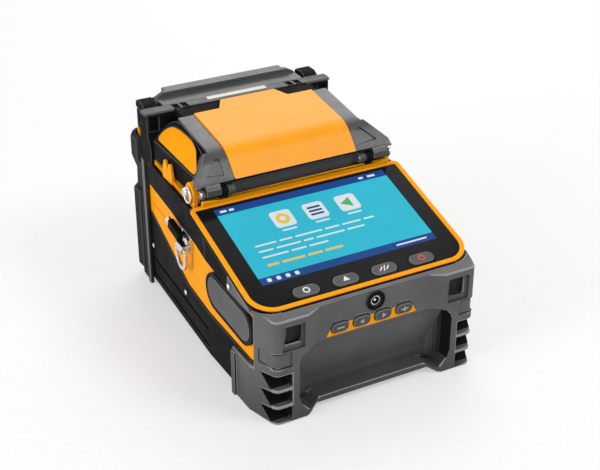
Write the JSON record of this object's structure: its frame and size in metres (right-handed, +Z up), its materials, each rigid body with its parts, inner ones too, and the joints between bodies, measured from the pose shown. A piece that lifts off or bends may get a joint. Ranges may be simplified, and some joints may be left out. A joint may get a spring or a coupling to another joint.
{
  "type": "fiber fusion splicer",
  "caption": "Portable fiber fusion splicer: wedge-shaped bumpered case with a tilting screen, a hinged windproof cover over the splice head, and a lidded sleeve heater behind it.",
  "frame": {"origin": "on the floor under the middle of the object's box, at the level of the feet", "axes": "+X to the operator's right, +Y to the rear, +Z up; the screen and the keys face -Y"},
  "size_m": [0.1418, 0.196, 0.1244],
  "materials": {
    "orange": "satin",
    "black": "satin",
    "charcoal": "matte",
    "key": "satin",
    "grey": "satin",
    "steel": "polished",
    "alloy": "satin",
    "ceramic": "satin",
    "screen": "gloss",
    "board": "matte"
  },
  "bodies": {
    "case": {"lower_case": "black", "body_shell": "orange", "side_band_left": "black", "side_band_right": "black", "front_bumper": "charcoal", "rear_bumper_left": "charcoal", "rear_bumper_right": "charcoal", "rear_vent": "black", "front_key_panel": "orange", "power_jack": "black", "hinge_bar": "black", "hinge_pins": "steel", "lanyard_pins": "steel", "cover_hinge_pins": "steel", "rear_housing": "black", "rear_rail": "grey", "light_bar": "ceramic", "heater_tray": "alloy", "heater_lid_pin": "steel", "splice_base": "alloy", "v_groove_block": "ceramic", "electrodes": "steel", "microscopes": "black", "feed_motors": "alloy", "main_board": "board", "high_voltage_module": "board", "battery_pack": "board", "battery_door": "key", "feet": "charcoal", "grip_pads": "charcoal", "strap_brackets": "steel", "case_screws": "steel"},
    "display": {"display_frame": "orange", "display_back": "black", "display_bezel": "black", "lcd_panel": "screen", "display_leaves": "black"},
    "wind_cover": {"cover_body": "black", "cover_frame": "grey", "cover_lid_panel": "orange", "cover_inlays": "orange"},
    "heater_lid": {"heater_lid": "grey"},
    "heater_clamp_left": {"heater_clamp_left": "black"},
    "heater_clamp_right": {"heater_clamp_right": "black"},
    "fibre_clamp_left": {"fibre_clamp_left": "key"},
    "fibre_clamp_right": {"fibre_clamp_right": "key"},
    "fibre_carriage_left": {"fibre_carriage_left": "alloy"},
    "fibre_carriage_right": {"fibre_carriage_right": "alloy"},
    "strap_ring_left": {"strap_ring_left": "steel"},
    "strap_ring_right": {"strap_ring_right": "steel"},
    "lanyard_ring_left": {"lanyard_ring_left": "steel"},
    "lanyard_ring_right": {"lanyard_ring_right": "steel"},
    "front_key_1": {"front_key_1": "key"},
    "front_key_2": {"front_key_2": "key"},
    "front_key_3": {"front_key_3": "key"},
    "front_key_4": {"front_key_4": "key"},
    "screen_key_1": {"screen_key_1": "key"},
    "screen_key_2": {"screen_key_2": "key"},
    "screen_key_3": {"screen_key_3": "key"},
    "screen_key_4": {"screen_key_4": "key"}
  },
  "joints": [
    {"name": "display_tilt", "type": "hinge", "parent": "case", "child": "display", "pos_m": [0, -0.00655, 0.0983], "axis": [-1, 0, 0], "range_deg": [0, 100]},
    {"name": "wind_cover_hinge", "type": "hinge", "parent": "case", "child": "wind_cover", "pos_m": [0, 0.0695, 0.1165], "axis": [-1, 0, 0], "range_deg": [0, 86]},
    {"name": "heater_lid_hinge", "type": "hinge", "parent": "case", "child": "heater_lid", "pos_m": [0, 0.0924, 0.1162], "axis": [-1, 0, 0], "range_deg": [0, 95]},
    {"name": "heater_clamp_left_hinge", "type": "hinge", "parent": "case", "child": "heater_clamp_left", "pos_m": [-0.0527, 0.0886, 0.1135], "axis": [-1, 0, 0], "range_deg": [0, 70]},
    {"name": "fibre_clamp_left_hinge", "type": "hinge", "parent": "case", "child": "fibre_clamp_left", "pos_m": [-0.013, 0.04902, 0.1005], "axis": [-1, 0, 0], "range_deg": [0, 55]},
    {"name": "fibre_carriage_left_feed", "type": "slide", "parent": "case", "child": "fibre_carriage_left", "axis": [1, 0, 0], "range_m": [-0.002, 0.002]},
    {"name": "strap_ring_left_swing", "type": "hinge", "parent": "case", "child": "strap_ring_left", "pos_m": [-0.06835, 0.00822, 0.0598], "axis": [0.0619, 0.9981, 0], "range_deg": [-8, 100]},
    {"name": "lanyard_ring_left_swing", "type": "hinge", "parent": "case", "child": "lanyard_ring_left", "pos_m": [-0.06529, 0.00255, 0.0975], "axis": [1, 0, 0], "range_deg": [-40, 40]},
    {"name": "heater_clamp_right_hinge", "type": "hinge", "parent": "case", "child": "heater_clamp_right", "pos_m": [0.0527, 0.0886, 0.1135], "axis": [-1, 0, 0], "range_deg": [0, 70]},
    {"name": "fibre_clamp_right_hinge", "type": "hinge", "parent": "case", "child": "fibre_clamp_right", "pos_m": [0.013, 0.04902, 0.1005], "axis": [-1, 0, 0], "range_deg": [0, 55]},
    {"name": "fibre_carriage_right_feed", "type": "slide", "parent": "case", "child": "fibre_carriage_right", "axis": [-1, 0, 0], "range_m": [-0.002, 0.002]},
    {"name": "strap_ring_right_swing", "type": "hinge", "parent": "case", "child": "strap_ring_right", "pos_m": [0.06835, 0.00822, 0.0598], "axis": [0.0619, -0.9981, 0], "range_deg": [-8, 100]},
    {"name": "lanyard_ring_right_swing", "type": "hinge", "parent": "case", "child": "lanyard_ring_right", "pos_m": [0.06529, 0.00255, 0.0975], "axis": [1, 0, 0], "range_deg": [-40, 40]},
    {"name": "front_key_1_press", "type": "slide", "parent": "case", "child": "front_key_1", "axis": [0, 1, 0], "range_m": [0, 0.001], "stiffness_N_per_m": 600, "springref_m": -0.0005},
    {"name": "screen_key_1_press", "type": "slide", "parent": "display", "child": "screen_key_1", "axis": [0, 0.2874, -0.9578], "range_m": [0, 0.0008], "stiffness_N_per_m": 600, "springref_m": -0.0005},
    {"name": "front_key_2_press", "type": "slide", "parent": "case", "child": "front_key_2", "axis": [0, 1, 0], "range_m": [0, 0.001], "stiffness_N_per_m": 600, "springref_m": -0.0005},
    {"name": "screen_key_2_press", "type": "slide", "parent": "display", "child": "screen_key_2", "axis": [0, 0.2874, -0.9578], "range_m": [0, 0.0008], "stiffness_N_per_m": 600, "springref_m": -0.0005},
    {"name": "front_key_3_press", "type": "slide", "parent": "case", "child": "front_key_3", "axis": [0, 1, 0], "range_m": [0, 0.001], "stiffness_N_per_m": 600, "springref_m": -0.0005},
    {"name": "screen_key_3_press", "type": "slide", "parent": "display", "child": "screen_key_3", "axis": [0, 0.2874, -0.9578], "range_m": [0, 0.0008], "stiffness_N_per_m": 600, "springref_m": -0.0005},
    {"name": "front_key_4_press", "type": "slide", "parent": "case", "child": "front_key_4", "axis": [0, 1, 0], "range_m": [0, 0.001], "stiffness_N_per_m": 600, "springref_m": -0.0005},
    {"name": "screen_key_4_press", "type": "slide", "parent": "display", "child": "screen_key_4", "axis": [0, 0.2874, -0.9578], "range_m": [0, 0.0008], "stiffness_N_per_m": 600, "springref_m": -0.0005}
  ]
}
